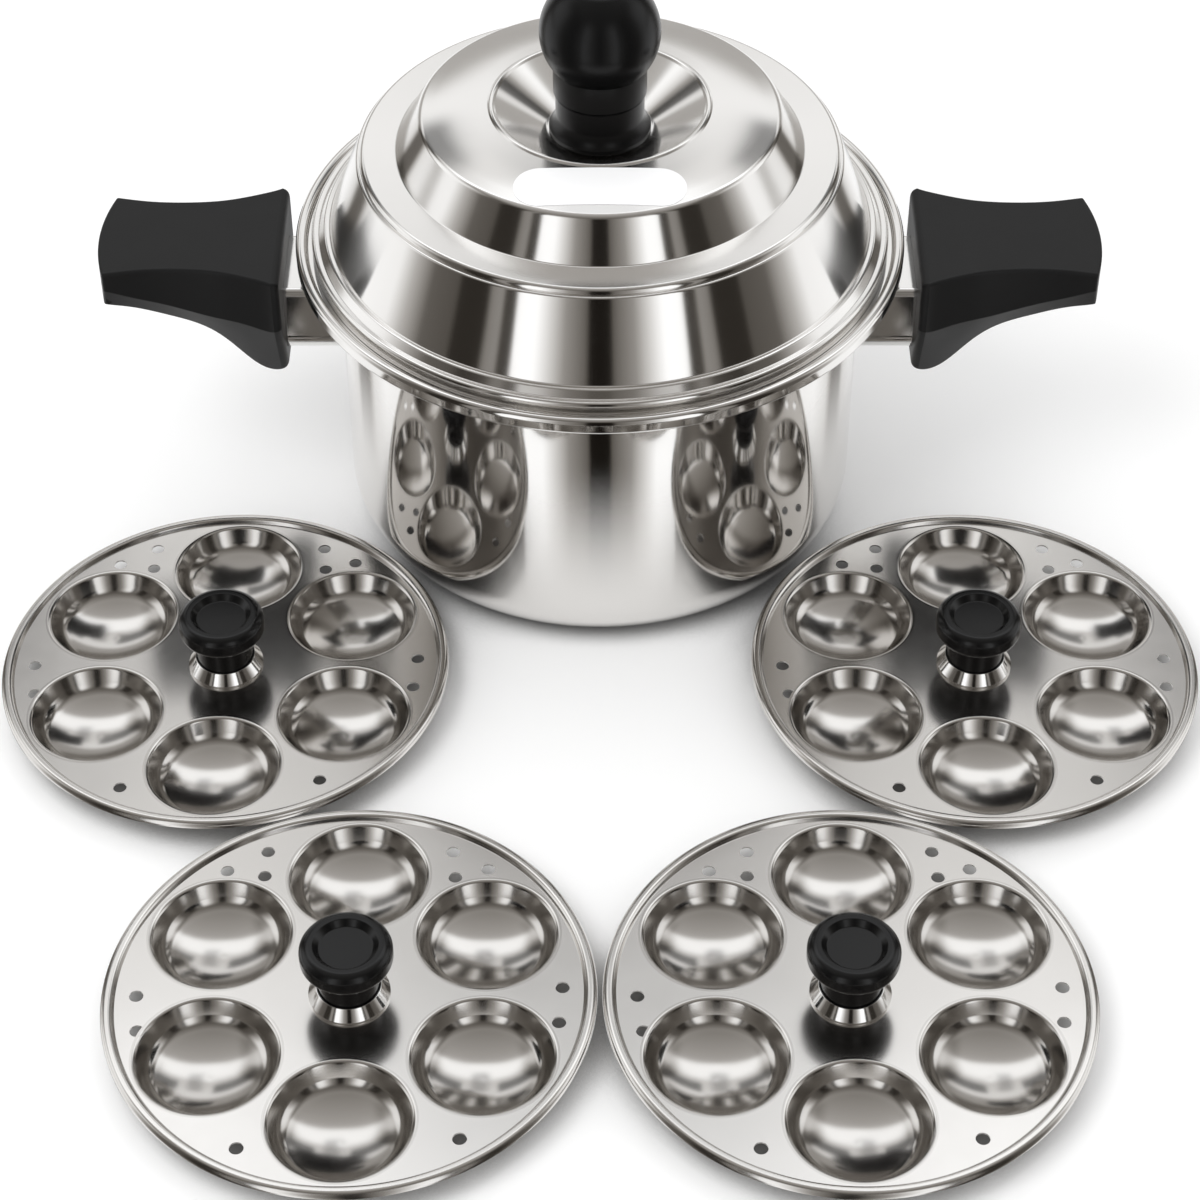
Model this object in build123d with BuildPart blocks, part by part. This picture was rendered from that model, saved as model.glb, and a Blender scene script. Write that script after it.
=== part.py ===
from build123d import *
import math
import os

# Idli steamer: a deep pot with two side handles, a stepped domed lid with a knob, and four
# plates of six cups each, which lie on the table in front of the pot.
# Millimetres. +Z is up, +X is to the right and -Y is to the front.
# The origin is the centre of the pot's flat base, on the table.

# Clearances and bends that several pieces share
seat_gap = 0.3            # between the lid and the pot it rests on
socket_gap = 0.25         # around a piece that slides into another
thread_gap = 0.15         # between a screw's shank and its threaded piece
hole_gap = 0.35           # between a screw's shank and a hole that it passes through
overrun = 2.0             # how far a cut runs past the face it starts from

# Pot
pot_sheet = 1.0
pot_radius = 122.5
pot_height = 156.0
pot_corner_radius = 26.0
pot_mouth_bend = 3.0
pot_rim_reach = 19.5      # from the wall's outer face out to the rim's outer face
pot_rim_width = 5.4
pot_rim_rise = 3.5        # from the flange's upper face to the top of the rim
pot_rim_skirt = 7.6       # from the top of the rim to its lower edge
pot_rim_curl = 2.4        # how far the lower edge turns in
pot_rim_bend = 1.5
pot_foot_bend = 0.6

# Lid, from the knob's seat outwards
lid_sheet = 0.8
lid_knob_seat_radius = 24.5
lid_recess_depth = 14.0
lid_recess_bend = 4.0
lid_ring_radius = 50.6
lid_ring_width = 2.8
lid_ring_rise = 1.1
lid_ring_bend = 0.9
lid_dome_radius = 81.5
lid_dome_fall = 3.6       # from the ring down to the dome's edge
lid_dome_bend = 150.0
lid_dome_edge_bend = 3.2
lid_upper_wall_height = 19.0
lid_ledge_inner_radius = 92.8
lid_ledge_outer_radius = 109.2
lid_ledge_bend = 1.6
lid_step_height = 3.0
lid_step_width = 1.7
lid_step_inner_bend = 0.9
lid_step_outer_bend = 0.6
lid_lower_wall_height = 46.1   # from the hem's foot up to the step below the ledge
lid_rim_gap = 2.3              # round the lid, inside the pot's rim
lid_shoulder_width = 2.5       # of the narrow land outside the wall's foot
lid_shoulder_tilt = 0.3
lid_shoulder_slope = 2.9       # from the land's outer edge out to the hem
lid_shoulder_fall = 3.3
lid_shoulder_bend = 1.4
lid_shoulder_edge_bend = 1.0
lid_hem_width = 3.7
lid_hem_rise = 5.9
lid_hem_foot_bend = 1.4
lid_hem_bend = 0.8

# Label on the dome, left blank
label_width = 76.0
label_height = 24.0
label_thickness = 0.3
label_ring_gap = 0.6

# Lid knob and its collar
knob_foot_radius = 23.2
knob_foot_height = 3.0
collar_height = 20.5
collar_neck_radius = 20.2
collar_flare_height = 9.0
collar_edge = 0.9
knob_neck_radius = 21.2
knob_ball_radius = 27.2
knob_crown_height = 24.0  # from the ball's widest circle to its flattened top
knob_crown_bend = 6.0
knob_ball_rise = 31.0     # from the collar up to the ball's widest circle
knob_edge = 1.0
knob_insert_radius = 6.0
knob_insert_length = 18.0
knob_insert_recess = 1.0
knob_screw_radius = 3.0
knob_screw_length = 38.0
knob_screw_head_radius = 5.6
knob_screw_head_height = 3.6
knob_washer_radius = 10.0
knob_washer_thickness = 1.2

# Side handles and the steel brackets that carry them
handle_rim_gap = 6.0           # from the pot's rim out to the handle's inner end
handle_length = 83.0           # from the round at the inner end to the middle of the tip
handle_drop = 4.4              # from the top of the rim down to the handle's top face
handle_inner_width = 77.0
handle_inner_depth = 63.3
handle_inner_side = 28.0       # height of the upright part of the handle's side
handle_inner_bevel = 15.0      # how far the lower part of the side turns in
handle_edge = 1.3
handle_inner_round = 3.5       # rounding round the inner end
handle_tip_sag = 7.5           # how far the tip's curve comes back over the inner width
handle_tip_edge = 1.1
bracket_width = 46.0
bracket_height = 38.0
bracket_sheet = 1.5
bracket_drop = 20.0            # from the top of the rim down to the bracket's top
bracket_top_bend = 3.0
bracket_bottom_bend = 12.0
bracket_tongue = 14.0          # how far the bracket goes into the handle
handle_screw_inset = 8.0       # from the handle's inner end to its screw
handle_screw_radius = 2.5
handle_screw_head_radius = 4.6
handle_screw_head_height = 2.8
handle_screw_tip = 3.0         # how far the screw stands past its nut
handle_nut_width = 8.0
handle_nut_height = 4.0
handle_head_cover = 4.4        # moulding left between the screw's head and the bracket

# Shape of a side handle at stations along its length, inner end first
handle_station_shares = (0.0, 0.115, 0.242, 0.353, 0.463, 0.628, 0.81, 1.0)
handle_width_shares = (1.0, 0.885, 0.79, 0.735, 0.71, 0.705, 0.745, 0.81)
handle_depth_shares = (0.97, 0.985, 0.84, 0.69, 0.59, 0.49, 0.39, 0.29)
handle_side_shares = (0.98, 1.0, 0.97, 0.94, 0.86, 0.70, 0.51, 0.34)
handle_bevel_shares = (1.0, 0.95, 0.80, 0.66, 0.56, 0.44, 0.36, 0.30)

# Shares of a rounding's size along a quarter circle: inwards, then endwards
round_shares = ((0.0, 0.0), (0.293, 0.707), (1.0, 1.0))

# Plate of six cups
cup_count = 6
plate_sheet = 0.8
plate_radius = 103.0
plate_hem_width = 5.2
plate_hem_rise = 2.2
plate_hem_slope = 1.2
plate_hem_foot_bend = 1.0
plate_hem_inner_bend = 1.3
plate_hem_outer_bend = 1.6
cup_radius = 30.0
cup_depth = 15.0
cup_foot_radius = 1.0          # small flat that the cup stands on
cup_crown_bend = 48.0          # of the shallow middle of the cup
cup_crown_slope = 24.0         # degrees, where the middle meets the side
cup_side_slope = 62.0          # degrees
cup_side_bend = 10.0
cup_edge_bend = 1.3
cup_edge_land = 2.0
cup_circle_radius = 65.0
vent_radius = 3.0
vent_outer_radius = 88.5
vent_inner_radius = 76.5
# Degrees round the plate, from the right, of the vent holes on each circle
vent_outer_angles = (2, -10, 51, 63, 117, 130, 181, 193, 243, 303)
vent_inner_angles = (57, 122)
cup_start_angle = 30

# Plate knob with its steel ring, and what fastens them
plate_knob_height = 31.5
plate_knob_radius = 19.4
plate_knob_neck_radius = 12.7
plate_knob_brim_height = 9.5   # thickness of the knob's head at its edge
plate_knob_throat = 5.5        # height of the slope from the neck out to the head
plate_knob_dish_radius = 13.6
plate_knob_dish_floor_radius = 11.3
plate_knob_dish_depth = 2.6
plate_knob_edge = 4.2
plate_knob_fine_edge = 0.7
ring_radius = 17.1
ring_height = 6.2
ring_edge_height = 1.3
ring_web = 1.0
ring_fine_edge = 0.35
plate_insert_radius = 4.5
plate_insert_length = 14.0
plate_screw_radius = 2.5
plate_screw_length = 14.0
plate_screw_head_radius = 4.6
plate_screw_head_height = 3.0
plate_washer_radius = 8.0
plate_washer_thickness = 1.0

# Where the plates lie
plate_gap = 2.0                # between a plate and the pot or another plate
rear_plate_angle = 40.5        # degrees from the X axis to the rear plates, towards the front

# Radii, heights and reaches that follow from the sizes above
pot_rim_radius = pot_radius + pot_rim_reach
flange_top = pot_height - pot_rim_rise
lid_hem_foot = flange_top + seat_gap
lid_step_top = lid_hem_foot + lid_lower_wall_height
lid_ledge_underside = lid_step_top + lid_step_height
lid_dome_edge_underside = lid_ledge_underside + lid_upper_wall_height
lid_ring_underside = lid_dome_edge_underside + lid_dome_fall
knob_seat_height = lid_ring_underside - lid_recess_depth + lid_sheet
knob_base_height = knob_seat_height + collar_height
plate_face_height = cup_depth + plate_sheet
bracket_top = pot_height - bracket_drop
bracket_bottom = bracket_top - bracket_height
handle_top = pot_height - handle_drop
handle_inner_reach = pot_rim_radius + handle_rim_gap
handle_body_reach = handle_inner_reach + handle_inner_round
handle_tip_reach = handle_body_reach + handle_length
bracket_tip = handle_inner_reach + bracket_tongue
handle_screw_reach = handle_inner_reach + handle_screw_inset
handle_head_top = bracket_bottom - socket_gap - handle_head_cover
knob_screw_head_top = knob_seat_height - lid_sheet - knob_washer_thickness

# Where the plates' centres are
rear_distance = pot_radius + plate_radius + plate_gap
rear_x = rear_distance * math.cos(math.radians(rear_plate_angle))
rear_y = -rear_distance * math.sin(math.radians(rear_plate_angle))
front_x = plate_radius + plate_gap / 2
front_y = rear_y - math.sqrt((2 * plate_radius + plate_gap) ** 2 - (rear_x - front_x) ** 2)

sides = (("left", -1), ("right", 1))
plate_places = {
    "rear_left": (-rear_x, rear_y),
    "rear_right": (rear_x, rear_y),
    "front_left": (-front_x, front_y),
    "front_right": (front_x, front_y),
}

os.makedirs("parts", exist_ok=True)


def save(piece, name):
    """Labels a finished piece and writes its STEP file."""
    piece.part.label = name
    export_step(piece.part, "parts/" + name + ".step")


def upright_plane(x, y, z):
    """The plane that a turned profile at (x, y) is drawn on, with its own origin at height z."""
    return Plane(origin=(x, y, z), x_dir=(1, 0, 0), z_dir=(0, -1, 0))


def turning_axis(x, y):
    """The vertical axis at (x, y)."""
    return Axis((x, y, 0), (0, 0, 1))


def upper_face(points, bends, sheet):
    """The corners and bends of a sheet's upper face, from those of its lower face."""
    directions = [(Vector(*b) - Vector(*a)).normalized() for a, b in zip(points, points[1:])]
    normals = [Vector(-d.Y, d.X) for d in directions]
    corners = [Vector(*points[0]) + normals[0] * sheet]
    radii = []
    for point, bend, before, after in zip(points[1:], bends, normals, normals[1:]):
        corners.append(Vector(*point) + (before + after) * (sheet / (1 + before.dot(after))))
        turns_left = before.cross(after).Z > 0
        radii.append(bend - sheet if turns_left else bend + sheet)
    corners.append(Vector(*points[-1]) + normals[-1] * sheet)
    return [(corner.X, corner.Y) for corner in corners], radii


def sheet_section(plane, points, bends, sheet):
    """A sheet's section: its lower face through points, from the axis outwards, and its upper."""
    upper_points, upper_bends = upper_face(points, bends, sheet)
    with BuildSketch(plane) as section:
        with BuildLine():
            lower = FilletPolyline(*points, radius=bends)
            upper = FilletPolyline(*upper_points, radius=upper_bends)
            Line(lower @ 0, upper @ 0)
            Line(lower @ 1, upper @ 1)
        make_face()
    return section.sketch


# The pot: one pressed sheet from the flat base up the wall and out to a rolled rim.
# Each pressed sheet is drawn as its lower face, from the axis outwards, and thickened upwards.
flange_underside = flange_top - pot_sheet
rim_inner_upright = pot_rim_radius - pot_rim_width + pot_sheet
rim_outer_upright = pot_rim_radius - pot_sheet
rim_crown = pot_height - pot_sheet
rim_lower_edge = pot_height - pot_rim_skirt + pot_sheet
pot_points = (
    (0, 0),
    (pot_radius, 0),
    (pot_radius, flange_underside),
    (rim_inner_upright, flange_underside),
    (rim_inner_upright, rim_crown),
    (rim_outer_upright, rim_crown),
    (rim_outer_upright, rim_lower_edge),
    (rim_outer_upright - pot_rim_curl, rim_lower_edge),
)
pot_bends = (
    pot_corner_radius,
    pot_mouth_bend,
    pot_foot_bend + pot_sheet,
    pot_rim_bend,
    pot_rim_bend,
    pot_foot_bend,
)
with BuildPart() as pot_body:
    revolve(sheet_section(Plane.XZ, pot_points, pot_bends, pot_sheet), axis=Axis.Z)
save(pot_body, "pot_body")

# The lid: a flat seat in a recess for the knob, a ring, a shallow dome, a wall down to a flat
# ledge, a small step, the tall flared wall, a shoulder, and a hem that stands on the pot's
# flange, inside the rim.
lid_seat_underside = knob_seat_height - lid_sheet
ring_inner = lid_ring_radius - lid_ring_width
dome_middle = (lid_ring_radius + lid_dome_radius) / 2
dome_middle_share = 0.22
step_radius = lid_ledge_outer_radius + lid_step_width
lid_hem_radius = pot_rim_radius - pot_rim_width - lid_rim_gap
hem_inner = lid_hem_radius - lid_hem_width
hem_upright = lid_hem_radius - lid_sheet
hem_height = lid_hem_foot + lid_hem_rise
shoulder_outer = hem_inner - lid_shoulder_slope
shoulder_inner = shoulder_outer - lid_shoulder_width
shoulder_height = hem_height + lid_shoulder_fall
dome_points = (
    (lid_ring_radius, lid_ring_underside),
    (dome_middle, lid_ring_underside - dome_middle_share * lid_dome_fall),
    (lid_dome_radius, lid_dome_edge_underside),
)
lid_points = (
    (0, lid_seat_underside),
    (lid_knob_seat_radius, lid_seat_underside),
    (ring_inner, lid_ring_underside),
    (ring_inner + lid_ring_width / 2, lid_ring_underside + lid_ring_rise),
    *dome_points,
    (lid_ledge_inner_radius, lid_ledge_underside),
    (lid_ledge_outer_radius, lid_ledge_underside),
    (lid_ledge_outer_radius, lid_step_top),
    (step_radius, lid_step_top),
    (shoulder_inner, shoulder_height - lid_shoulder_tilt),
    (shoulder_outer, shoulder_height),
    (hem_inner, hem_height),
    (hem_upright, hem_height),
    (hem_upright, lid_hem_foot),
)
lid_bends = (
    lid_recess_bend,
    lid_ring_bend,
    lid_ring_bend,
    lid_ring_bend,
    lid_dome_bend,
    lid_dome_edge_bend,
    lid_ledge_bend,
    lid_ledge_bend,
    lid_step_inner_bend,
    lid_step_outer_bend,
    lid_shoulder_bend,
    lid_shoulder_edge_bend,
    lid_hem_foot_bend,
    lid_hem_bend,
)
with BuildPart() as lid_shell:
    revolve(sheet_section(Plane.XZ, lid_points, lid_bends, lid_sheet), axis=Axis.Z)
    with Locations((0, 0, knob_seat_height)):
        Hole(radius=knob_screw_radius + hole_gap, depth=lid_recess_depth)
save(lid_shell, "lid_shell")

# The label: a thin pill that follows the front of the dome.
label_centre_y = -(lid_ring_radius + label_ring_gap + label_height / 2)
with BuildPart() as lid_label:
    label_sheet = lid_sheet + label_thickness
    revolve(sheet_section(Plane.XZ, dome_points, (lid_dome_bend,), label_sheet), axis=Axis.Z)
    with BuildSketch(Plane.XY.offset(lid_ledge_underside)):
        with Locations((0, label_centre_y)):
            SlotOverall(label_width, label_height)
    extrude(amount=lid_ring_underside - lid_ledge_underside + overrun, mode=Mode.INTERSECT)
    add(lid_shell.part, mode=Mode.SUBTRACT)
save(lid_label, "lid_label")

# The lid knob: a flared collar on the seat, and a neck with a ball above it.
with BuildPart() as lid_knob_collar:
    with BuildSketch(upright_plane(0, 0, knob_seat_height)):
        with BuildLine():
            foot = Polyline(
                (knob_screw_radius + hole_gap, collar_height),
                (knob_screw_radius + hole_gap, 0),
                (knob_foot_radius - collar_edge, 0),
                (knob_foot_radius, collar_edge),
                (knob_foot_radius, knob_foot_height),
            )
            flare = TangentArc(
                foot @ 1,
                (collar_neck_radius, collar_flare_height),
                tangent=(-(knob_foot_radius - collar_neck_radius), knob_foot_height),
            )
            Polyline(
                flare @ 1,
                (collar_neck_radius, collar_height - collar_edge),
                (collar_neck_radius - collar_edge, collar_height),
                (knob_screw_radius + hole_gap, collar_height),
            )
        make_face()
    revolve(axis=Axis.Z)
save(lid_knob_collar, "lid_knob_collar")

ball_foot_height = knob_ball_rise - math.sqrt(knob_ball_radius ** 2 - knob_neck_radius ** 2)
crown_radius = math.sqrt(knob_ball_radius ** 2 - knob_crown_height ** 2)
with BuildPart() as lid_knob:
    with BuildSketch(upright_plane(0, 0, knob_base_height)):
        with BuildLine():
            neck = Polyline(
                (0, 0),
                (knob_neck_radius - knob_edge, 0),
                (knob_neck_radius, knob_edge),
                (knob_neck_radius, ball_foot_height),
            )
            ball = ThreePointArc(
                neck @ 1,
                (knob_ball_radius, knob_ball_rise),
                (crown_radius, knob_ball_rise + knob_crown_height),
            )
            Polyline(ball @ 1, (0, knob_ball_rise + knob_crown_height), (0, 0))
        make_face()
    revolve(axis=Axis.Z)
    fillet(lid_knob.edges().filter_by(GeomType.CIRCLE).sort_by(Axis.Z)[-1], knob_crown_bend)
    with BuildSketch(Plane.XY.offset(knob_base_height)):
        Circle(knob_insert_radius)
    extrude(amount=knob_insert_length + knob_insert_recess, mode=Mode.SUBTRACT)
save(lid_knob, "lid_knob")


def threaded_insert(x, y, z, radius, length, screw_radius):
    """A knurled insert, drawn plain, that stands on height z at (x, y)."""
    with BuildPart() as insert:
        with BuildSketch(Plane.XY.offset(z)):
            with Locations((x, y)):
                Circle(radius)
                Circle(screw_radius + thread_gap, mode=Mode.SUBTRACT)
        extrude(amount=length)
    return insert


def flat_washer(x, y, top, radius, thickness, screw_radius):
    """A plain washer whose upper face is at height top."""
    with BuildPart() as washer:
        with BuildSketch(Plane.XY.offset(top - thickness)):
            with Locations((x, y)):
                Circle(radius)
                Circle(screw_radius + hole_gap, mode=Mode.SUBTRACT)
        extrude(amount=thickness)
    return washer


def pan_screw(x, y, head_top, length, radius, head_radius, head_height):
    """A screw that points up, with a rounded head below height head_top."""
    with BuildPart() as screw:
        with BuildSketch(Plane.XY.offset(head_top)):
            with Locations((x, y)):
                Circle(radius)
        extrude(amount=length)
        chamfer(screw.edges().group_by(Axis.Z)[-1], length=radius / 4)
        with BuildSketch(Plane.XY.offset(head_top - head_height)):
            with Locations((x, y)):
                Circle(head_radius)
        extrude(amount=head_height)
        fillet(screw.edges().group_by(Axis.Z)[0], radius=head_height / 2)
        with BuildSketch(Plane.XY.offset(head_top - head_height)):
            with Locations((x, y)):
                Rectangle(head_radius, head_height / 4)
                Rectangle(head_height / 4, head_radius)
        extrude(amount=head_height / 2, mode=Mode.SUBTRACT)
    return screw


insert_height = knob_base_height + knob_insert_recess
save(
    threaded_insert(0, 0, insert_height, knob_insert_radius, knob_insert_length, knob_screw_radius),
    "lid_knob_insert",
)
save(
    flat_washer(
        0, 0, lid_seat_underside, knob_washer_radius, knob_washer_thickness, knob_screw_radius
    ),
    "lid_knob_washer",
)
save(
    pan_screw(
        0, 0, knob_screw_head_top, knob_screw_length,
        knob_screw_radius, knob_screw_head_radius, knob_screw_head_height,
    ),
    "lid_knob_screw",
)


def bracket_section(plane, gap):
    """The bracket's outer section, larger all round by gap, with big lower corners."""
    with BuildSketch(plane) as section:
        with Locations((0, (bracket_top + bracket_bottom) / 2)):
            Rectangle(bracket_width + 2 * gap, bracket_height + 2 * gap)
        fillet(section.vertices().group_by(Axis.Y)[-1], radius=bracket_top_bend + gap)
        fillet(section.vertices().group_by(Axis.Y)[0], radius=bracket_bottom_bend + gap)
    return section.sketch


def handle_section(station, side, inset=0, setback=0):
    """The handle's section at a station, or smaller by inset and nearer the pot by setback."""
    reach = handle_body_reach + handle_station_shares[station] * handle_length - setback
    half_width = handle_width_shares[station] * handle_inner_width / 2 - inset
    upper_face_height = handle_top - inset
    side_foot = handle_top - handle_side_shares[station] * handle_inner_side
    lower_face_height = handle_top - handle_depth_shares[station] * handle_inner_depth + inset
    lower_half_width = half_width - handle_bevel_shares[station] * handle_inner_bevel
    with BuildSketch(Plane.YZ.offset(side * reach)) as section:
        Polygon(
            (-half_width, upper_face_height),
            (-half_width, side_foot),
            (-lower_half_width, lower_face_height),
            (lower_half_width, lower_face_height),
            (half_width, side_foot),
            (half_width, upper_face_height),
            align=None,
        )
        fillet(section.vertices(), radius=handle_edge)
    return section.sketch


def tip_plan(side):
    """The plan that cuts the handle's tip to a curve."""
    corner_reach = handle_tip_reach - handle_tip_sag
    with BuildSketch(Plane.XY) as plan:
        with BuildLine():
            tip = ThreePointArc(
                (side * corner_reach, -handle_inner_width / 2),
                (side * handle_tip_reach, 0),
                (side * corner_reach, handle_inner_width / 2),
            )
            Polyline(
                tip @ 1,
                (0, handle_inner_width / 2),
                (0, -handle_inner_width / 2),
                tip @ 0,
            )
        make_face()
    return plan.sketch


def round_sketch(height, x, y, radius):
    """A disc at (x, y) on the level plane at a height."""
    with BuildSketch(Plane.XY.offset(height)) as section:
        with Locations((x, y)):
            Circle(radius)
    return section.sketch


station_count = len(handle_station_shares)
for side_name, side in sides:
    # The bracket: a steel box section from the pot's wall into the handle.
    with BuildPart() as bracket:
        extrude(bracket_section(Plane.YZ, 0), amount=side * bracket_tip)
        extrude(
            bracket_section(Plane.YZ, -bracket_sheet),
            amount=side * (bracket_tip + overrun),
            mode=Mode.SUBTRACT,
        )
        extrude(round_sketch(0, 0, 0, pot_radius), amount=pot_height, mode=Mode.SUBTRACT)
        extrude(
            round_sketch(0, side * handle_screw_reach, 0, handle_screw_radius + hole_gap),
            amount=bracket_bottom + bracket_sheet + overrun,
            mode=Mode.SUBTRACT,
        )
    save(bracket, side_name + "_bracket")

    # The handle: a moulded grip, thick at the pot and thin at its tip, with a socket for the
    # bracket and a sunk seat for its screw.
    with BuildPart() as handle:
        loft([handle_section(station, side) for station in range(station_count)])
        extrude(tip_plan(side), amount=pot_height, mode=Mode.INTERSECT)
        tip_face = handle.faces().sort_by(Axis((0, 0, 0), (side, 0, 0)))[-1]
        fillet(tip_face.edges(), radius=handle_tip_edge)
        loft(
            [
                handle_section(0, side, inwards * handle_inner_round, endwards * handle_inner_round)
                for inwards, endwards in round_shares
            ]
        )
        extrude(
            bracket_section(Plane.YZ.offset(side * handle_inner_reach), socket_gap),
            amount=side * (bracket_tongue + socket_gap),
            mode=Mode.SUBTRACT,
        )
        extrude(
            round_sketch(0, side * handle_screw_reach, 0, handle_screw_head_radius + hole_gap),
            amount=handle_head_top,
            mode=Mode.SUBTRACT,
        )
        extrude(
            round_sketch(0, side * handle_screw_reach, 0, handle_screw_radius + hole_gap),
            amount=bracket_bottom + overrun,
            mode=Mode.SUBTRACT,
        )
    save(handle, side_name + "_handle")

    # The nut inside the bracket, and the screw that pulls the handle to it from below.
    nut_foot = bracket_bottom + bracket_sheet
    with BuildPart() as nut:
        with BuildSketch(Plane.XY.offset(nut_foot)):
            with Locations((side * handle_screw_reach, 0)):
                RegularPolygon(handle_nut_width / 2, 6, major_radius=False)
                Circle(handle_screw_radius + thread_gap, mode=Mode.SUBTRACT)
        extrude(amount=handle_nut_height)
    save(nut, side_name + "_handle_nut")
    save(
        pan_screw(
            side * handle_screw_reach, 0, handle_head_top,
            nut_foot + handle_nut_height + handle_screw_tip - handle_head_top,
            handle_screw_radius, handle_screw_head_radius, handle_screw_head_height,
        ),
        side_name + "_handle_screw",
    )


# One cup of a plate, drawn about its own axis with the plate's underside at height zero: a
# shallow bowl with a steeper side.
cup_land_radius = cup_radius + cup_edge_land
crown_rise_share = math.tan(math.radians(cup_crown_slope))
side_rise_share = math.tan(math.radians(cup_side_slope))
cup_crown_radius = cup_foot_radius + cup_crown_bend * math.tan(math.radians(cup_crown_slope / 2))
cup_side_radius = (
    (cup_radius * side_rise_share - cup_depth - cup_crown_radius * crown_rise_share)
    / (side_rise_share - crown_rise_share)
)
cup_points = (
    (0, -cup_depth),
    (cup_crown_radius, -cup_depth),
    (cup_side_radius, (cup_side_radius - cup_radius) * side_rise_share),
    (cup_radius, 0),
    (cup_land_radius, 0),
)
with BuildPart() as cup:
    revolve(
        sheet_section(
            Plane.XZ, cup_points, (cup_crown_bend, cup_side_bend, cup_edge_bend), plate_sheet
        ),
        axis=Axis.Z,
    )

# A plate: a hemmed sheet with six cups pressed into it, vent holes between them and one hole
# for the knob's screw.
plate_hem_inner = plate_radius - plate_hem_width
plate_hem_upright = plate_radius - plate_sheet
plate_points = (
    (0, 0),
    (plate_hem_inner, 0),
    (plate_hem_inner + plate_hem_slope, plate_hem_rise),
    (plate_hem_upright, plate_hem_rise),
    (plate_hem_upright, 0),
)
plate_bends = (plate_hem_foot_bend, plate_hem_inner_bend, plate_hem_outer_bend)


def polar_points(radius, angles):
    """Points on a circle of a radius, at angles in degrees."""
    return [
        (radius * math.cos(math.radians(angle)), radius * math.sin(math.radians(angle)))
        for angle in angles
    ]


vent_points = (
    polar_points(vent_outer_radius, vent_outer_angles)
    + polar_points(vent_inner_radius, vent_inner_angles)
)


def build_plate(x, y):
    """A plate whose centre is at (x, y), standing on its cups."""
    rim_plane = upright_plane(x, y, cup_depth)
    with BuildPart() as plate:
        revolve(
            sheet_section(rim_plane, plate_points, plate_bends, plate_sheet),
            axis=turning_axis(x, y),
        )
        with BuildSketch(Plane.XY.offset(cup_depth)):
            with Locations((x, y)):
                with PolarLocations(cup_circle_radius, cup_count, start_angle=cup_start_angle):
                    Circle(cup_land_radius)
                Circle(plate_screw_radius + hole_gap)
                with Locations(*vent_points):
                    Circle(vent_radius)
        extrude(amount=plate_sheet, mode=Mode.SUBTRACT)
        with Locations((x, y, cup_depth)):
            with PolarLocations(cup_circle_radius, cup_count, start_angle=cup_start_angle):
                add(cup.part)
    return plate


def build_plate_knob(x, y):
    """The knob on a plate, with a round dish in its top and a bore for its insert."""
    foot = ring_web
    head_foot = plate_knob_height - plate_knob_brim_height
    dish_floor = plate_knob_height - plate_knob_dish_depth
    with BuildPart() as knob:
        with BuildSketch(upright_plane(x, y, plate_face_height)):
            with BuildLine():
                outline = FilletPolyline(
                    (0, foot),
                    (plate_knob_neck_radius, foot),
                    (plate_knob_neck_radius, head_foot - plate_knob_throat),
                    (plate_knob_radius, head_foot),
                    (plate_knob_radius, plate_knob_height),
                    (plate_knob_dish_radius, plate_knob_height),
                    (plate_knob_dish_floor_radius, dish_floor),
                    (0, dish_floor),
                    radius=(
                        plate_knob_fine_edge,
                        plate_knob_edge / 2,
                        plate_knob_edge,
                        plate_knob_edge,
                        plate_knob_fine_edge,
                        plate_knob_fine_edge,
                    ),
                )
                Line(outline @ 1, outline @ 0)
            make_face()
        revolve(axis=turning_axis(x, y))
        extrude(
            round_sketch(plate_face_height, x, y, plate_insert_radius),
            amount=ring_web + plate_insert_length,
            mode=Mode.SUBTRACT,
        )
    return knob


def build_ring(x, y):
    """The bevelled steel ring that the knob's neck stands in."""
    bore = plate_knob_neck_radius + socket_gap
    with BuildPart() as ring:
        with BuildSketch(upright_plane(x, y, plate_face_height)):
            with BuildLine():
                FilletPolyline(
                    (plate_screw_radius + hole_gap, 0),
                    (ring_radius, 0),
                    (ring_radius, ring_edge_height),
                    (bore + 2 * ring_fine_edge, ring_height),
                    (bore, ring_height),
                    (bore, ring_web),
                    (plate_screw_radius + hole_gap, ring_web),
                    radius=ring_fine_edge,
                    close=True,
                )
            make_face()
        revolve(axis=turning_axis(x, y))
    return ring


for place_name, (x, y) in plate_places.items():
    insert_foot = plate_face_height + ring_web
    washer_foot = cup_depth - plate_washer_thickness
    save(build_plate(x, y), place_name + "_plate")
    save(build_plate_knob(x, y), place_name + "_knob")
    save(build_ring(x, y), place_name + "_knob_ring")
    save(
        threaded_insert(
            x, y, insert_foot, plate_insert_radius, plate_insert_length, plate_screw_radius
        ),
        place_name + "_knob_insert",
    )
    save(
        flat_washer(
            x, y, cup_depth, plate_washer_radius, plate_washer_thickness, plate_screw_radius
        ),
        place_name + "_washer",
    )
    save(
        pan_screw(
            x, y, washer_foot, plate_screw_length,
            plate_screw_radius, plate_screw_head_radius, plate_screw_head_height,
        ),
        place_name + "_screw",
    )
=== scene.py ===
"""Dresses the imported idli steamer: polished steel, black moulded grips and knobs, a blank label.

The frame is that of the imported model: +Z is up, +X is to the right and -Y is to the front. Places
in the room are in metres, and the turned pieces are drawn in millimetres.
"""
import math

import bpy
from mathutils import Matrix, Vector
from mathutils.geometry import delaunay_2d_cdt


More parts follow.
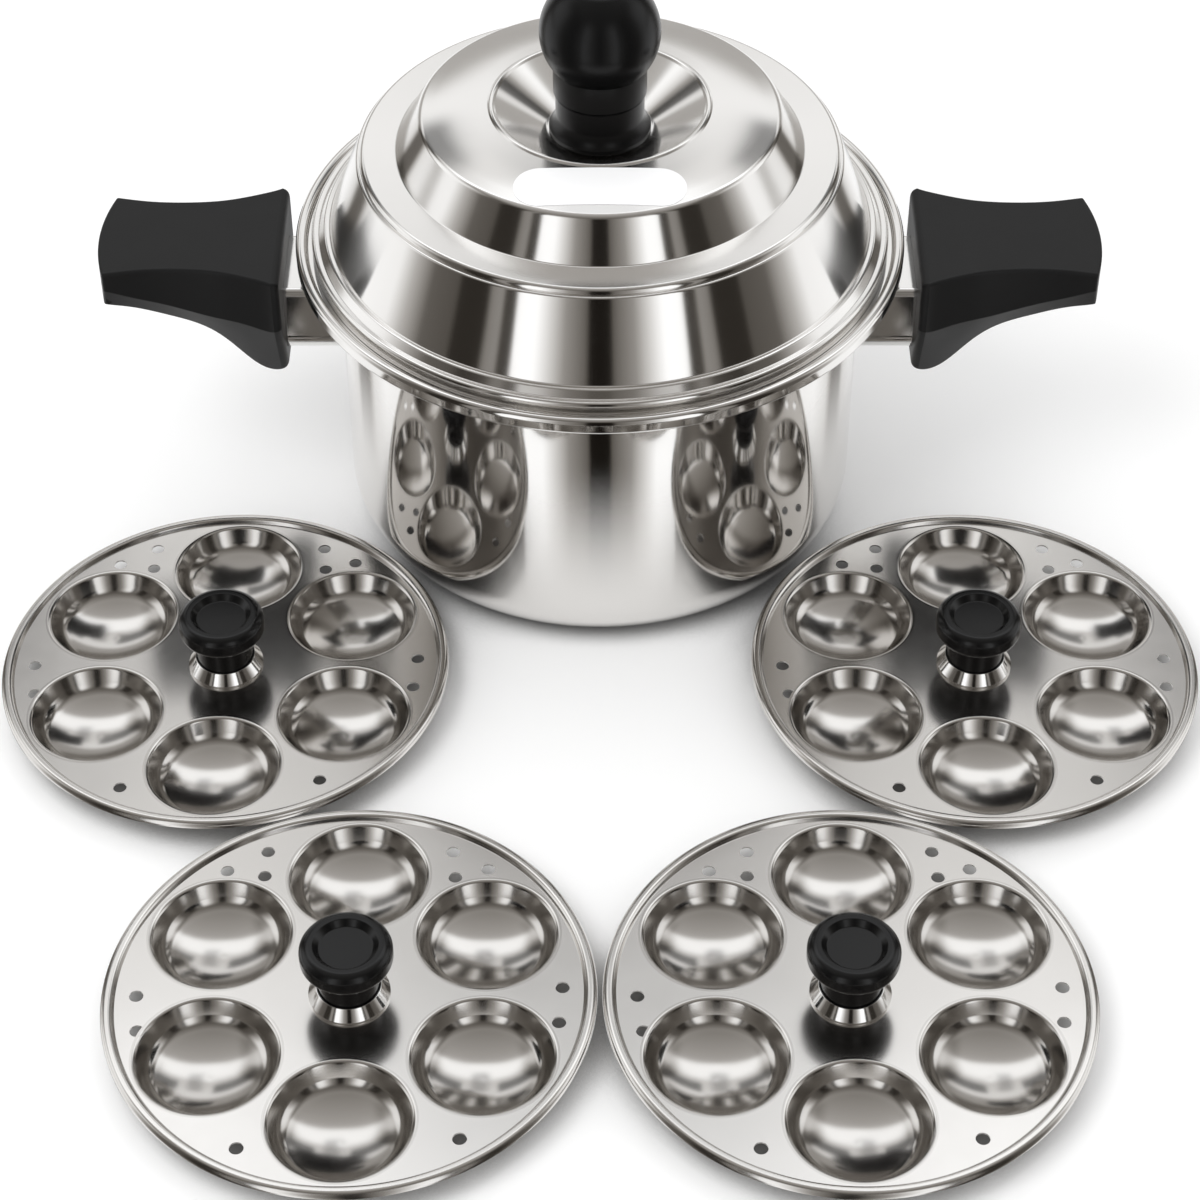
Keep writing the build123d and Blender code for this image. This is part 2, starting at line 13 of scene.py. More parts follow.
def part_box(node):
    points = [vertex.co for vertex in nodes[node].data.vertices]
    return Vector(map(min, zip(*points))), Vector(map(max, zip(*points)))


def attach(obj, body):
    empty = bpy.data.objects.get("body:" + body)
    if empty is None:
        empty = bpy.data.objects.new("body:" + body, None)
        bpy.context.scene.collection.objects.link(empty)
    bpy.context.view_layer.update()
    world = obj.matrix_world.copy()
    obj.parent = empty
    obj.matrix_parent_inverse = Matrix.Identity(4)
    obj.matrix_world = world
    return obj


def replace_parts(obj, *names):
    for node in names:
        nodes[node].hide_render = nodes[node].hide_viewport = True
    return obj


# Camera, in front of the object and above it
CAMERA_PLACE = (0.0, -1.1424, 0.9864)
CAMERA_TILT = math.radians(43.09)      # below the horizon
SENSOR_WIDTH = 36.0
IMAGE_SIZE = 1200
FOCAL_PIXELS = 3000

# Middle of what stands on the table
STAGE_MIDDLE = (0, -0.15, 0)

# Floor: it fades out between two distances, from its middle as it is seen, and from the pot's
# middle as the steel mirrors it
FLOOR_HALF = 3.0
SEEN_FADE = (0.62, 0.95)
MIRRORED_FADE = (0.15, 0.26)
POT_MIDDLE = (0, 0.15, 0)              # from the middle of the floor
# Painted shade where things within reach cover the floor: the open share, and the brightness
PAINTED_SHADE_REACH = 0.05
PAINTED_SHADE_SHARES = (0.05, 0.5)
PAINTED_SHADE_LEVELS = (0.12, 0.97)

# Lamp, at the left in front and above
LAMP_PLACE = (-0.9, -1.0, 1.9)
LAMP_TARGET = (0, -0.15, 0.1)
LAMP_SIZE = 1.0
LAMP_POWER = 14.0

# Studio: degrees round the object from the camera, with the brightness of the wall there
STUDIO_RADIUS = 6.0
WALL_BANDS = (
    (0, 0.01), (4.2, 0.01), (5.5, 0.14), (14, 0.34), (20, 0.80), (26, 1.30), (34.5, 1.30),
    (35.5, 0.05), (40, 0.06), (41.5, 0.32), (46, 0.26), (48, 0.03), (60, 0.03), (62, 0.10),
    (74, 0.13), (84, 0.55), (92, 1.10), (112, 1.20), (122, 0.95), (127, 0.16), (136, 0.14),
    (140, 0.85), (150, 1.10), (180, 1.10),
)
# Degrees over the top, from the horizon behind the object, with the brightness of the ceiling
CEILING_BANDS = (
    (0, 1.10), (6, 1.05), (10, 0.50), (26, 0.45), (32, 0.85), (38, 0.92), (50, 0.85), (54, 1.50),
    (67, 1.50), (71, 0.55), (90, 0.42), (110, 0.28), (130, 0.14), (180, 0.10),
)
CEILING_RISE = (30, 52)                # degrees of height between which wall turns into ceiling
CEILING_WIDTHS = (0.50, 0.68)          # shares of the width over which the ceiling gets dimmer
CEILING_SIDE_LEVEL = 0.40
# Dimmer places, with the share of the brightness that they keep. Heights are degrees over the
# top from the horizon behind the object, and widths are shares of the width on both sides.
WALL_FALL = (6, 10, 26, 30)
WALL_FALL_LEVEL = 0.42
SIDE_HEIGHTS = (34, 37, 45, 49)
SIDE_WIDTHS = (0.195, 0.215, 0.60, 0.70)
SIDE_LEVEL = 0.22
MIDDLE_HEIGHTS = (37, 40, 56, 60)
MIDDLE_WIDTHS = (0.05, 0.13)
MIDDLE_LEVEL = 0.55
LOW_TURNS = (0.885, 0.93)              # shares of the half turn from the camera to behind
LOW_DEPTHS = (22, 30)                  # degrees under the horizon
LOW_LEVEL = 0.30
GREEN_POWER = 1.04                     # these make the dark stretches a little warm
BLUE_POWER = 1.09
HALF_TURN = 180
# Sockets that a mix node has for colours: its two inputs and its output
FIRST_COLOR = 6
SECOND_COLOR = 7
MIXED_COLOR = 2

# Finishes: how fine each noise is, as its scale over the metres of a piece
POLISH_SCALE = 90.0
WAVE_SCALE = 14.0
SHINE_SCALE = 60.0
GRAIN_SCALE = 1400.0
PAPER_SCALE = 700.0
PAPER_DEPTH = 0.00002                  # metres
SPUN_ROTATION = 0.25                   # of a full turn, for the stretched highlights

# Pressed sheets: the corners of the lower face in millimetres, from the axis outwards, as
# (radius, height), the bend at each inner corner, and the sheet's thickness
POT_CORNERS = (
    (0, 0), (122.5, 0), (122.5, 151.5), (137.6, 151.5), (137.6, 155.0), (141.0, 155.0),
    (141.0, 149.4), (138.6, 149.4),
)
POT_BENDS = (26.0, 3.0, 1.6, 1.5, 1.5, 0.6)
POT_SHEET = 1.0
LID_CORNERS = (
    (3.35, 210.5), (24.5, 210.5), (47.8, 224.5), (49.2, 225.6), (50.6, 224.5), (66.05, 223.708),
    (81.5, 220.9), (92.8, 201.9), (109.2, 201.9), (109.2, 198.9), (110.9, 198.9), (125.2, 161.7),
    (127.7, 162.0), (130.6, 158.7), (133.5, 158.7), (133.5, 152.8),
)
LID_BENDS = (4.0, 0.9, 0.9, 0.9, 150.0, 3.2, 1.6, 1.6, 0.9, 0.6, 1.4, 1.0, 1.4, 0.8)
LID_SHEET = 0.8
PLATE_FACE = 15.0                      # height of the plate's lower face
PLATE_FLAT_RADIUS = 97.0
PLATE_HEM_CORNERS = ((97.0, 15.0), (97.8, 15.0), (99.0, 17.2), (102.2, 17.2), (102.2, 15.0))
PLATE_HEM_BENDS = (1.0, 1.3, 1.6)
PLATE_SHEET = 0.8
CUP_RADIUS = 30.0
CUP_LAND_RADIUS = 31.6
CUP_FOOT_RADIUS = 1.0
CUP_CROWN_BEND = 48.0
CUP_CROWN_ANGLE = math.radians(24)
CUP_SIDE_ANGLE = math.radians(62)
CUP_BENDS = (CUP_CROWN_BEND, 10.0, 1.3)
CUP_CIRCLE_RADIUS = 65.0
CUP_START = 30                         # degrees
CUP_COUNT = 6
VENT_RADIUS = 3.0
VENT_CIRCLES = ((88.5, (2, -10, 51, 63, 117, 130, 181, 193, 243, 303)), (76.5, (57, 122)))
SCREW_HOLE_RADIUS = 2.85
# A plate's knob, from the top down, and the ring under it, from its bore up and round
KNOB_CORNERS = (
    (0, 44.7), (11.3, 44.7), (13.6, 47.3), (19.4, 47.3), (19.4, 37.8), (12.7, 32.3), (12.7, 16.8),
    (0, 16.8),
)
KNOB_BENDS = (0.7, 0.7, 4.2, 4.2, 2.1, 0.7)
RING_CORNERS = (
    (2.85, 16.3), (2.85, 16.8), (12.95, 16.8), (12.95, 22.0), (13.65, 22.0), (17.1, 17.1),
    (17.1, 15.8), (2.85, 15.8), (2.85, 16.3),
)
RING_BENDS = (0.2, 0.35, 0.3, 0.3, 0.35, 0.35, 0.2)
# Fineness of the turned pieces: the widest step in a bend, and the steps in a full turn
BEND_STEP = math.radians(6)
POT_TURNS = 240
PLATE_TURNS = 216
KNOB_TURNS = 128
CUP_TURNS = 96
HOLE_TURNS = 32
AXIS_RADIUS = 0.001                    # a ring smaller than this is one point
SAME_POINT = 0.000001                  # points nearer each other than this are one
ONLY_INSIDE = 1                        # the triangles inside the edges, of all that are made
MILLIMETRES = 1000

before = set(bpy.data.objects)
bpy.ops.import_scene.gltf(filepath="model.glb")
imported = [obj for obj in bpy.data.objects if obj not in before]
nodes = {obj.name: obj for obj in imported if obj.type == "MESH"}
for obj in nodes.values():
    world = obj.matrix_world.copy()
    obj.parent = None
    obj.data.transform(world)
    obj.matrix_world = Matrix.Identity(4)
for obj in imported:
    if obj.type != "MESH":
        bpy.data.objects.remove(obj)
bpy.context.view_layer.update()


def add_node(tree, kind, inputs=None, **settings):
    """A new shader node, with its settings and inputs, which are values or other nodes' outputs."""
    made = tree.nodes.new(kind)
    for key, value in settings.items():
        setattr(made, key, value)
    for key, value in (inputs or {}).items():
        socket = made.inputs[key]
        if isinstance(value, bpy.types.NodeSocket):
            tree.links.new(value, socket)
        else:
            socket.default_value = value
    return made


def math_node(tree, operation, *values):
    """The output of a math node."""
    return add_node(
        tree, "ShaderNodeMath", dict(enumerate(values)), operation=operation
    ).outputs[0]


def product(tree, *values):
    """The output of math nodes that multiply all the values."""
    total, *others = values
    for value in others:
        total = math_node(tree, "MULTIPLY", total, value)
    return total


def map_range(tree, value, start, end, low, high, shape="LINEAR"):
    """The output of a map range node: from low to high, as the value goes from start to end."""
    names = ("Value", "From Min", "From Max", "To Min", "To Max")
    inputs = dict(zip(names, (value, start, end, low, high)))
    return add_node(
        tree, "ShaderNodeMapRange", inputs, interpolation_type=shape
    ).outputs["Result"]


def ramp(tree, factor, stops):
    """A grey ramp's output; the stops are (place, brightness)."""
    made = add_node(tree, "ShaderNodeValToRGB", {"Fac": factor})
    elements = made.color_ramp.elements
    for index, (place, level) in enumerate(stops):
        element = elements[index] if index < 2 else elements.new(place)
        element.position = place
        element.color = (level, level, level, 1.0)
    return made.outputs["Color"]


def empty_material(name):
    """A new material with an empty tree and its output."""
    material = bpy.data.materials.new(name)
    material.use_nodes = True
    tree = material.node_tree
    tree.nodes.clear()
    return material, tree, add_node(tree, "ShaderNodeOutputMaterial")


def principled(name, color, roughness, metallic=0.0, **settings):
    """A new material with one Principled shader, and its tree and shader."""
    material, tree, output = empty_material(name)
    shader = add_node(tree, "ShaderNodeBsdfPrincipled")
    shader.inputs["Base Color"].default_value = (*color, 1.0)
    shader.inputs["Roughness"].default_value = roughness
    shader.inputs["Metallic"].default_value = metallic
    for key, value in settings.items():
        shader.inputs[key.replace("_", " ")].default_value = value
    tree.links.new(shader.outputs["BSDF"], output.inputs["Surface"])
    return material, tree, shader


def object_place(tree):
    """The place on the object that is shaded, in metres in its own frame."""
    return add_node(tree, "ShaderNodeTexCoord").outputs["Object"]


def noise(tree, place, scale, detail=2.0):
    """A noise texture's value, from 0 to 1."""
    return add_node(
        tree, "ShaderNodeTexNoise", {"Vector": place, "Scale": scale, "Detail": detail}
    ).outputs["Fac"]


def bump(tree, height, distance):
    """A bump node's normal, where a height of 1 is the distance in metres."""
    return add_node(
        tree, "ShaderNodeBump", {"Height": height, "Distance": distance}
    ).outputs["Normal"]


def polished_steel(name, color, low_rough, high_rough, wave, spun=0.0):
    """Polished sheet: a little waviness and uneven polish, and fine rings where it was spun."""
    material, tree, shader = principled(name, color, low_rough, metallic=1.0)
    place = object_place(tree)
    polish = noise(tree, place, POLISH_SCALE, detail=4.0)
    rough = map_range(tree, polish, 0, 1, low_rough, high_rough)
    tree.links.new(rough, shader.inputs["Roughness"])
    waves = noise(tree, place, WAVE_SCALE, detail=1.0)
    tree.links.new(bump(tree, waves, wave), shader.inputs["Normal"])
    if spun:
        rings = add_node(tree, "ShaderNodeTangent", direction_type="RADIAL", axis="Z")
        tree.links.new(rings.outputs["Tangent"], shader.inputs["Tangent"])
        shader.inputs["Anisotropic"].default_value = spun
        shader.inputs["Anisotropic Rotation"].default_value = SPUN_ROTATION
    return material


sheet_steel = polished_steel("sheet_steel", (0.76, 0.745, 0.725), 0.04, 0.09, 0.0003)
spun_steel = polished_steel("spun_steel", (0.80, 0.785, 0.765), 0.12, 0.15, 0.0002, spun=0.9)
plate_steel = polished_steel("plate_steel", (0.70, 0.68, 0.655), 0.15, 0.20, 0.0003)
# The cups' steel is a darker copy of the plate's as painted shade, and a little smoother
cup_steel_painted_shade = polished_steel("cup_steel_painted_shade", (0.62, 0.60, 0.575), 0.13, 0.18, 0.0002)
cut_steel = polished_steel("cut_steel", (0.70, 0.685, 0.665), 0.42, 0.55, 0.0002)
fitting_steel = polished_steel("fitting_steel", (0.82, 0.81, 0.795), 0.08, 0.13, 0.0001)
zinc = polished_steel("bright_zinc", (0.62, 0.63, 0.65), 0.25, 0.38, 0.0002)
brass = polished_steel("turned_brass", (0.72, 0.55, 0.27), 0.22, 0.32, 0.0002)


def moulded_black(name, level, shine, low_rough, high_rough, grain):
    """Black moulded plastic with an uneven shine and a fine grain."""
    material, tree, shader = principled(
        name, (level, level, level * 1.03), low_rough, Specular_IOR_Level=shine
    )
    place = object_place(tree)
    unevenness = noise(tree, place, SHINE_SCALE, detail=3.0)
    rough = map_range(tree, unevenness, 0, 1, low_rough, high_rough)
    tree.links.new(rough, shader.inputs["Roughness"])
    tree.links.new(bump(tree, noise(tree, place, GRAIN_SCALE), grain), shader.inputs["Normal"])
    return material


satin_black = moulded_black("satin_black", 0.009, 0.20, 0.36, 0.44, 0.00003)
gloss_black = moulded_black("gloss_black", 0.004, 0.32, 0.17, 0.24, 0.000004)
soft_black = moulded_black("soft_black", 0.004, 0.22, 0.22, 0.30, 0.00001)


def label_material():
    """A blank, glossy white sticker."""
    material, tree, shader = principled(
        "blank_label", (0.88, 0.88, 0.885), 0.28, Coat_Weight=0.4, Coat_Roughness=0.12
    )
    fibre = bump(tree, noise(tree, object_place(tree), PAPER_SCALE), PAPER_DEPTH)
    tree.links.new(fibre, shader.inputs["Normal"])
    return material


blank_label = label_material()

# The ends of the nodes' names, with their finish; the first that fits counts
FINISHES = (
    ("_insert", brass),
    ("_screw", zinc),
    ("_nut", zinc),
    ("_washer", zinc),
    ("_label", blank_label),
    ("_handle", satin_black),
    ("lid_knob", soft_black),
    ("_collar", soft_black),
    ("_knob", gloss_black),
    ("_ring", fitting_steel),
    ("_bracket", fitting_steel),
    ("_plate", plate_steel),
    ("lid_shell", spun_steel),
    ("pot_body", sheet_steel),
)
for name, node in nodes.items():
    node.data.materials.clear()
    node.data.materials.append(next(finish for end, finish in FINISHES if name.endswith(end)))


def rounded_line(corners, bends):
    """A line with rounded corners: its places, each with the direction to its left."""
    points = [Vector(corner) for corner in corners]
    ways = [(b - a).normalized() for a, b in zip(points, points[1:])]
    lefts = [Vector((-way.y, way.x)) for way in ways]
    line = [(points[0], lefts[0])]
    for point, bend, before, way, after in zip(points[1:], bends, lefts, ways, lefts[1:]):
        turn = math.atan2(before.cross(after), before.dot(after))
        side = math.copysign(1, turn)
        middle = point - way * (bend * math.tan(abs(turn) / 2)) + before * (bend * side)
        count = max(2, math.ceil(abs(turn) / BEND_STEP))
        for step in range(count + 1):
            angle = turn * step / count
            cos, sin = math.cos(angle), math.sin(angle)
            left = Vector((before.x * cos - before.y * sin, before.x * sin + before.y * cos))
            line.append((middle - left * (bend * side), left))
    line.append((points[-1], lefts[-1]))
    return line


def round_point(middle, radius, angle):
    """The point at an angle on a circle."""
    return (middle[0] + radius * math.cos(angle), middle[1] + radius * math.sin(angle))


def circle_points(middle, radius, turns):
    """Points round a circle."""
    return [round_point(middle, radius, 2 * math.pi * step / turns) for step in range(turns)]


def add_band(shape, line, middle, turns):
    """Turns a line of (place, normal) about the upright axis at middle, in millimetres."""
    places, normals, faces = shape
    rings = []
    for (radius, height), (out, up) in line:
        first = len(places)
        if radius < AXIS_RADIUS:
            places.append((*middle, height))
            normals.append((0, 0, up))
            rings.append([first] * turns)
            continue
        for x, y in circle_points((0, 0), 1, turns):
            places.append((middle[0] + radius * x, middle[1] + radius * y, height))
            normals.append((out * x, out * y, up))
        rings.append(list(range(first, first + turns)))
    for inner, outer in zip(rings, rings[1:]):
        for step in range(turns):
            after = (step + 1) % turns
            loop = (inner[step], outer[step], outer[after], inner[after])
            faces.append(tuple(dict.fromkeys(loop)))


def add_turned_sheet(shape, profile, middle, turns, start_edge=False, end_edge=False):
    """A pressed sheet turned about an upright axis: both its faces, and its cut edges."""
    corners, bends, sheet = profile
    line = rounded_line(corners, bends)
    upper = [(place + left * sheet, left) for place, left in line]
    lower = [(place, -left) for place, left in reversed(line)]
    add_band(shape, upper, middle, turns)
    add_band(shape, lower, middle, turns)
    if end_edge:
        way = Vector((line[-1][1].y, -line[-1][1].x))
        add_band(shape, [(upper[-1][0], way), (lower[0][0], way)], middle, turns)
    if start_edge:
        way = Vector((-line[0][1].y, line[0][1].x))
        add_band(shape, [(lower[-1][0], way), (upper[0][0], way)], middle, turns)


def turned_shape(corners, bends, middle, turns):
    """A turned piece, from the rounded line that its outer side lies to the left of."""
    shape = ([], [], [])
    add_band(shape, rounded_line(corners, bends), middle, turns)
    return shape


def add_flat(shape, height, up, outline, holes):
    """A level face inside an outline, with round holes given as (middle, radius, turns)."""
    places, normals, faces = shape
    loops = [outline] + [circle_points(*hole) for hole in holes]
    points, edges = [], []
    for loop in loops:
        first = len(points)
        points += [Vector(point) for point in loop]
        count = len(loop)
        edges += [(first + step, first + (step + 1) % count) for step in range(count)]
    flat_points, _, triangles, *_ = delaunay_2d_cdt(
        points, edges, [], ONLY_INSIDE, SAME_POINT
    )
    first = len(places)
    places += [(point.x, point.y, height) for point in flat_points]
    normals += [(0, 0, up)] * len(flat_points)
    for triangle in triangles:
        centre = sum((flat_points[index] for index in triangle), Vector((0, 0))) / 3
        if any(
            (centre - Vector(middle)).length < radius * math.cos(math.pi / turns)
            for middle, radius, turns in holes
        ):
            continue
        loop = triangle if up > 0 else reversed(triangle)
        faces.append(tuple(first + index for index in loop))


def add_piece(shape, name, body, material):
    """Makes a shape into a piece that rides on a body, with its exact normals."""
    places, normals, faces = shape
    mesh = bpy.data.meshes.new(name)
    metres = [[part / MILLIMETRES for part in place] for place in places]
    mesh.from_pydata(metres, [], faces)
    mesh.polygons.foreach_set("use_smooth", [True] * len(mesh.polygons))
    mesh.normals_split_custom_set_from_vertices(normals)
    mesh.materials.append(material)
    piece = bpy.data.objects.new(name, mesh)
    bpy.context.scene.collection.objects.link(piece)
    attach(piece, body)
    return piece


def replace_node(shape, node_name, body, material):
    """Shows a piece in a node's place."""
    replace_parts(add_piece(shape, node_name + "_looks", body, material), node_name)


def cup_corners():
    """The corners of a cup's lower face, from its middle outwards: crown, side and land."""
    crown_radius = CUP_FOOT_RADIUS + CUP_CROWN_BEND * math.tan(CUP_CROWN_ANGLE / 2)
    crown, side = math.tan(CUP_CROWN_ANGLE), math.tan(CUP_SIDE_ANGLE)
    side_radius = (CUP_RADIUS * side - PLATE_FACE - crown_radius * crown) / (side - crown)
    return (
        (0, 0),
        (crown_radius, 0),
        (side_radius, PLATE_FACE - (CUP_RADIUS - side_radius) * side),
        (CUP_RADIUS, PLATE_FACE),
        (CUP_LAND_RADIUS, PLATE_FACE),
    )


def plate_shape(middle):
    """A plate: its hem and the flat with its holes, then its cups, then the holes' walls."""
    shape = ([], [], [])
    cups = ([], [], [])
    cuts = ([], [], [])
    upper = PLATE_FACE + PLATE_SHEET
    hem = (PLATE_HEM_CORNERS, PLATE_HEM_BENDS, PLATE_SHEET)
    add_turned_sheet(shape, hem, middle, PLATE_TURNS, end_edge=True)
    cup = (cup_corners(), CUP_BENDS, PLATE_SHEET)
    holes = []
    for index in range(CUP_COUNT):
        angle = math.radians(CUP_START + index * 360 / CUP_COUNT)
        centre = round_point(middle, CUP_CIRCLE_RADIUS, angle)
        add_turned_sheet(cups, cup, centre, CUP_TURNS)
        holes.append((centre, CUP_LAND_RADIUS, CUP_TURNS))
    small = [(middle, SCREW_HOLE_RADIUS, HOLE_TURNS)]
    for radius, angles in VENT_CIRCLES:
        for angle in angles:
            centre = round_point(middle, radius, math.radians(angle))
            small.append((centre, VENT_RADIUS, HOLE_TURNS))
    inward = Vector((-1, 0))
    for centre, radius, turns in small:
        wall = [(Vector((radius, PLATE_FACE)), inward), (Vector((radius, upper)), inward)]
        add_band(cuts, wall, centre, turns)
    outline = circle_points(middle, PLATE_FLAT_RADIUS, PLATE_TURNS)
    add_flat(shape, upper, 1, outline, holes + small)
    add_flat(shape, PLATE_FACE, -1, outline, holes + small)
    return shape, cups, cuts


def build_pot_and_lid():
    """The pot's body and the lid, as exact turned sheets."""
    pot = ([], [], [])
    profile = (POT_CORNERS, POT_BENDS, POT_SHEET)
    add_turned_sheet(pot, profile, (0, 0), POT_TURNS, end_edge=True)
    replace_node(pot, "pot_body", "pot", sheet_steel)
    lid = ([], [], [])
    profile = (LID_CORNERS, LID_BENDS, LID_SHEET)
    add_turned_sheet(lid, profile, (0, 0), POT_TURNS, start_edge=True, end_edge=True)
    replace_node(lid, "lid_shell", "lid", spun_steel)


def build_plate(place_name):
    """A plate with its knob and the ring under it."""
    body = place_name + "_plate"
    plate_low, plate_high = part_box(place_name + "_plate")
    middle = [
        (low + high) / 2 * MILLIMETRES for low, high in zip(plate_low[:2], plate_high[:2])
    ]
    sheet, cups, cuts = plate_shape(middle)
    replace_node(sheet, body, body, plate_steel)
    add_piece(cups, place_name + "_cups_looks", body, cup_steel_painted_shade)
    add_piece(cuts, place_name + "_hole_walls_looks", body, cut_steel)
    knob = turned_shape(KNOB_CORNERS, KNOB_BENDS, middle, KNOB_TURNS)
    replace_node(knob, place_name + "_knob", body, gloss_black)
    ring = turned_shape(RING_CORNERS, RING_BENDS, middle, KNOB_TURNS)
    replace_node(ring, place_name + "_knob_ring", body, fitting_steel)


def fade_from(tree, place, middle, span):
    """A smooth rise from 0 to 1 between two distances from a middle."""
    distance = add_node(
        tree, "ShaderNodeVectorMath", {0: place, 1: middle}, operation="DISTANCE"
    ).outputs["Value"]
    return map_range(tree, distance, *span, 0, 1, "SMOOTHSTEP")


def build_floor():
    """A pale round table, with painted shade under things, fading into the white background."""
    mesh = bpy.data.meshes.new("floor")
    half = FLOOR_HALF
    corners = [(-half, -half, 0), (half, -half, 0), (half, half, 0), (-half, half, 0)]
    mesh.from_pydata(corners, [], [(0, 1, 2, 3)])
    floor = bpy.data.objects.new("floor", mesh)
    bpy.context.scene.collection.objects.link(floor)
    floor.location = STAGE_MIDDLE
    material, tree, output = empty_material("pale_floor")
    place = object_place(tree)
    seen_fade = fade_from(tree, place, (0, 0, 0), SEEN_FADE)
    mirrored_fade = fade_from(tree, place, POT_MIDDLE, MIRRORED_FADE)
    mirrored = add_node(tree, "ShaderNodeLightPath").outputs["Is Glossy Ray"]
    fade = math_node(tree, "MAXIMUM", seen_fade, product(tree, mirrored, mirrored_fade))
    # Painted shade: the floor's colour darkens where ambient occlusion finds things close above it
    painted_shade_open_share = add_node(
        tree, "ShaderNodeAmbientOcclusion", {"Distance": PAINTED_SHADE_REACH}, samples=8
    ).outputs["AO"]
    level = map_range(tree, painted_shade_open_share, *PAINTED_SHADE_SHARES, *PAINTED_SHADE_LEVELS)
    paint = add_node(tree, "ShaderNodeBsdfDiffuse", {"Color": level})
    clear = add_node(tree, "ShaderNodeBsdfTransparent")
    mixed = add_node(
        tree,
        "ShaderNodeMixShader",
        {0: fade, 1: paint.outputs["BSDF"], 2: clear.outputs["BSDF"]},
    )
    tree.links.new(mixed.outputs["Shader"], output.inputs["Surface"])
    mesh.materials.append(material)


def half_turn_ramp(tree, share, stops):
    """A ramp over a share of a half turn; the stops are (degrees, brightness)."""
    return ramp(tree, share, [(degrees / HALF_TURN, level) for degrees, level in stops])


def hump(places):
    """Stops that rise from 0 to 1 between the first two places and fall between the last two."""
    return list(zip(places, (0, 1, 1, 0)))


def dimmed(tree, mask, low_level):
    """A share of the brightness that falls from 1 to a low level where the mask is 1."""
    return map_range(tree, mask, 0, 1, 1, low_level)


def surround_level(tree, around, over, width, height):
    """The brightness of the surround: bands round its wall, and a soft box on its ceiling."""
    wall = half_turn_ramp(tree, around, WALL_BANDS)
    fall = half_turn_ramp(tree, over, hump(WALL_FALL))
    wall = product(tree, wall, dimmed(tree, fall, WALL_FALL_LEVEL))
    ceiling = half_turn_ramp(tree, over, CEILING_BANDS)
    side_share = map_range(tree, width, *CEILING_WIDTHS, 1, CEILING_SIDE_LEVEL)
    ceiling = product(tree, ceiling, side_share)
    start, end = [math.radians(angle) for angle in CEILING_RISE]
    rise = map_range(tree, height, start, end, 0, 1, "SMOOTHSTEP")
    mixed = add_node(tree, "ShaderNodeMix", data_type="RGBA")
    tree.links.new(rise, mixed.inputs["Factor"])
    tree.links.new(wall, mixed.inputs[FIRST_COLOR])
    tree.links.new(ceiling, mixed.inputs[SECOND_COLOR])
    grey = mixed.outputs[MIXED_COLOR]
    return add_node(tree, "ShaderNodeSeparateColor", {"Color": grey}).outputs["Red"]


def panel_share(tree, around, over, width, height):
    """The share of its brightness that the surround keeps, for its dimmer panels."""
    sides = product(
        tree, half_turn_ramp(tree, over, hump(SIDE_HEIGHTS)), ramp(tree, width, hump(SIDE_WIDTHS))
    )
    middle = product(
        tree,
        half_turn_ramp(tree, over, hump(MIDDLE_HEIGHTS)),
        map_range(tree, width, *MIDDLE_WIDTHS, 1, 0),
    )
    depth = math_node(tree, "MULTIPLY", height, -1.0)
    shallow, deep = [math.radians(angle) for angle in LOW_DEPTHS]
    low = product(
        tree,
        map_range(tree, around, *LOW_TURNS, 0, 1),
        map_range(tree, depth, shallow, deep, 0, 1),
    )
    return product(
        tree,
        dimmed(tree, sides, SIDE_LEVEL),
        dimmed(tree, middle, MIDDLE_LEVEL),
        dimmed(tree, low, LOW_LEVEL),
    )


def studio_material():
    """The surround's glow, by the direction in which each place of it lies."""
    material, tree, output = empty_material("studio_wall")
    direction = add_node(
        tree, "ShaderNodeVectorMath", {0: object_place(tree)}, operation="NORMALIZE"
    ).outputs["Vector"]
    parts = add_node(tree, "ShaderNodeSeparateXYZ", {"Vector": direction}).outputs
    behind = math_node(tree, "MULTIPLY", parts["Y"], -1.0)
    around = math_node(tree, "ABSOLUTE", math_node(tree, "ARCTAN2", parts["X"], behind))
    around = math_node(tree, "DIVIDE", around, math.pi)
    over = math_node(tree, "ARCTAN2", parts["Z"], parts["Y"])
    over = math_node(tree, "DIVIDE", over, math.pi)
    width = math_node(tree, "ABSOLUTE", parts["X"])
    height = math_node(tree, "ARCSINE", parts["Z"])
    level = surround_level(tree, around, over, width, height)
    green = math_node(tree, "POWER", level, GREEN_POWER)
    blue = math_node(tree, "POWER", level, BLUE_POWER)
    warm = add_node(
        tree, "ShaderNodeCombineColor", {0: level, 1: green, 2: blue}
    ).outputs["Color"]
    share = panel_share(tree, around, over, width, height)
    glow = add_node(tree, "ShaderNodeEmission", {"Color": warm, "Strength": share})
    tree.links.new(glow.outputs["Emission"], output.inputs["Surface"])
    return material


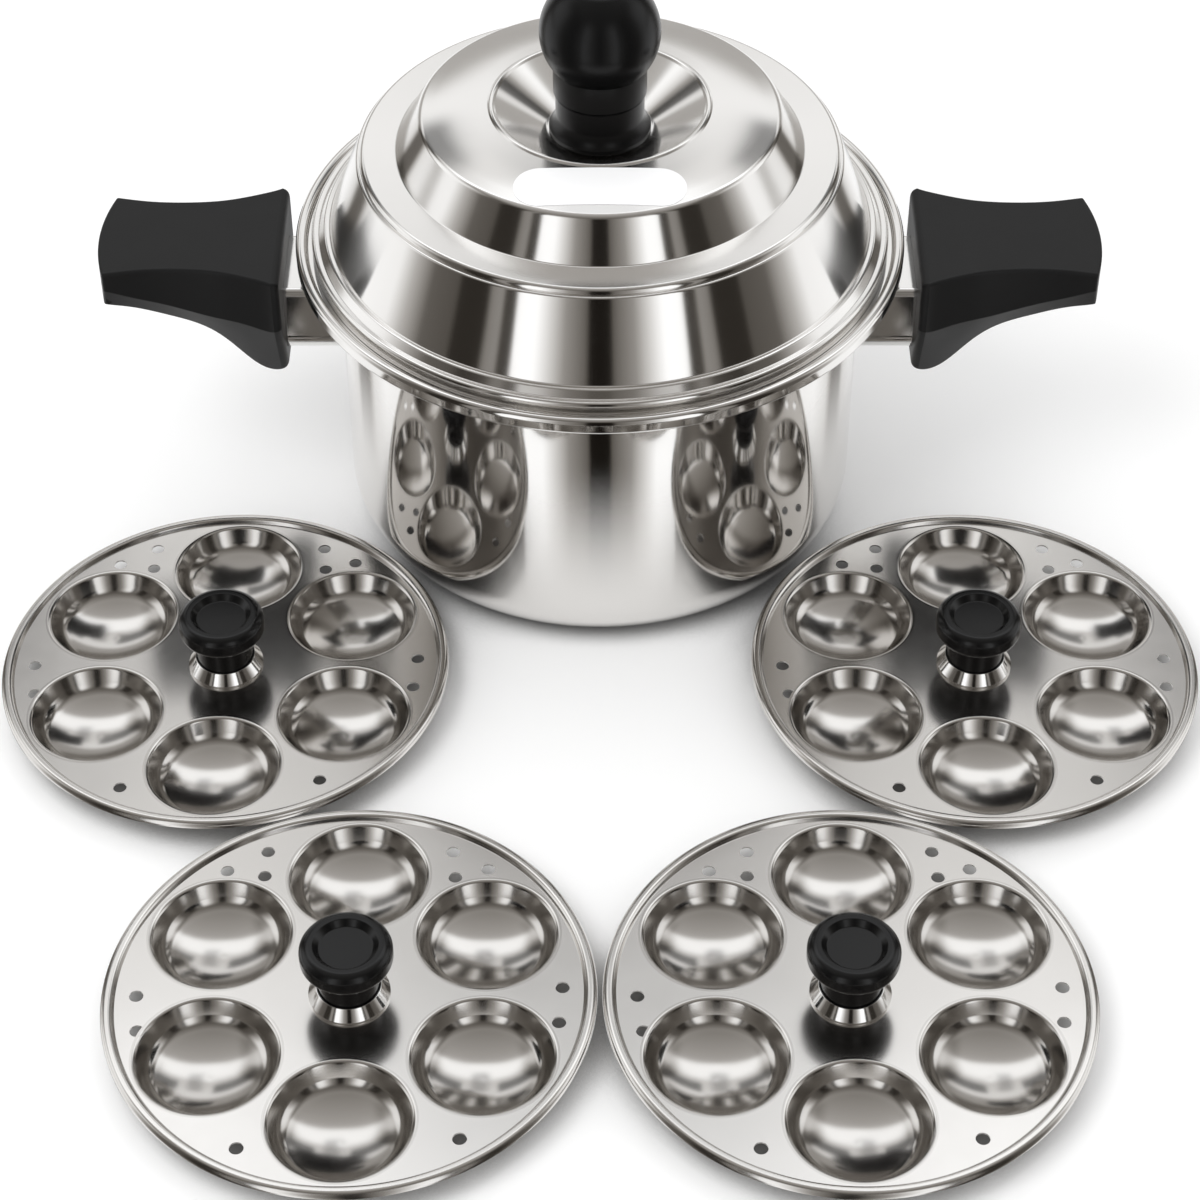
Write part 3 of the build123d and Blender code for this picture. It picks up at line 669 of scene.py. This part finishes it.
def build_studio():
    """A surround that the steel mirrors: soft boxes with dark gaps between them."""
    bpy.ops.mesh.primitive_uv_sphere_add(
        segments=96, ring_count=48, radius=STUDIO_RADIUS, location=STAGE_MIDDLE
    )
    studio = bpy.context.object
    studio.name = "studio"
    studio.visible_camera = False
    studio.visible_diffuse = False
    studio.visible_shadow = False
    studio.visible_transmission = False
    studio.visible_volume_scatter = False
    studio.data.materials.append(studio_material())


def build_world():
    """White behind the object, and a plain even light on it."""
    world = bpy.data.worlds.new("studio_light")
    bpy.context.scene.world = world
    world.use_nodes = True
    tree = world.node_tree
    tree.nodes.clear()
    output = add_node(tree, "ShaderNodeOutputWorld")
    light = add_node(tree, "ShaderNodeBackground", {"Strength": 1.0})
    light.inputs["Color"].default_value = (1.0, 1.0, 1.0, 1.0)
    tree.links.new(light.outputs["Background"], output.inputs["Surface"])


def add_lamp(name, place, target, size, power):
    """A square soft lamp aimed at a point."""
    data = bpy.data.lights.new(name, "AREA")
    data.shape = "SQUARE"
    data.size = size
    data.energy = power
    lamp = bpy.data.objects.new(name, data)
    bpy.context.scene.collection.objects.link(lamp)
    lamp.location = place
    lamp.visible_glossy = False
    aim = Vector(target) - Vector(place)
    lamp.rotation_euler = aim.to_track_quat("-Z", "Y").to_euler()


def add_camera():
    """The camera, which looks down at the object from the front."""
    data = bpy.data.cameras.new("camera")
    data.sensor_width = SENSOR_WIDTH
    data.lens = SENSOR_WIDTH * FOCAL_PIXELS / IMAGE_SIZE
    camera = bpy.data.objects.new("camera", data)
    bpy.context.scene.collection.objects.link(camera)
    camera.location = CAMERA_PLACE
    camera.rotation_euler = (math.pi / 2 - CAMERA_TILT, 0, 0)
    bpy.context.scene.camera = camera


build_pot_and_lid()
for place_name in ("rear_left", "rear_right", "front_left", "front_right"):
    build_plate(place_name)
build_floor()
build_studio()
build_world()
add_lamp("key_lamp", LAMP_PLACE, LAMP_TARGET, LAMP_SIZE, LAMP_POWER)
add_camera()
bpy.context.scene.view_settings.view_transform = "Standard"
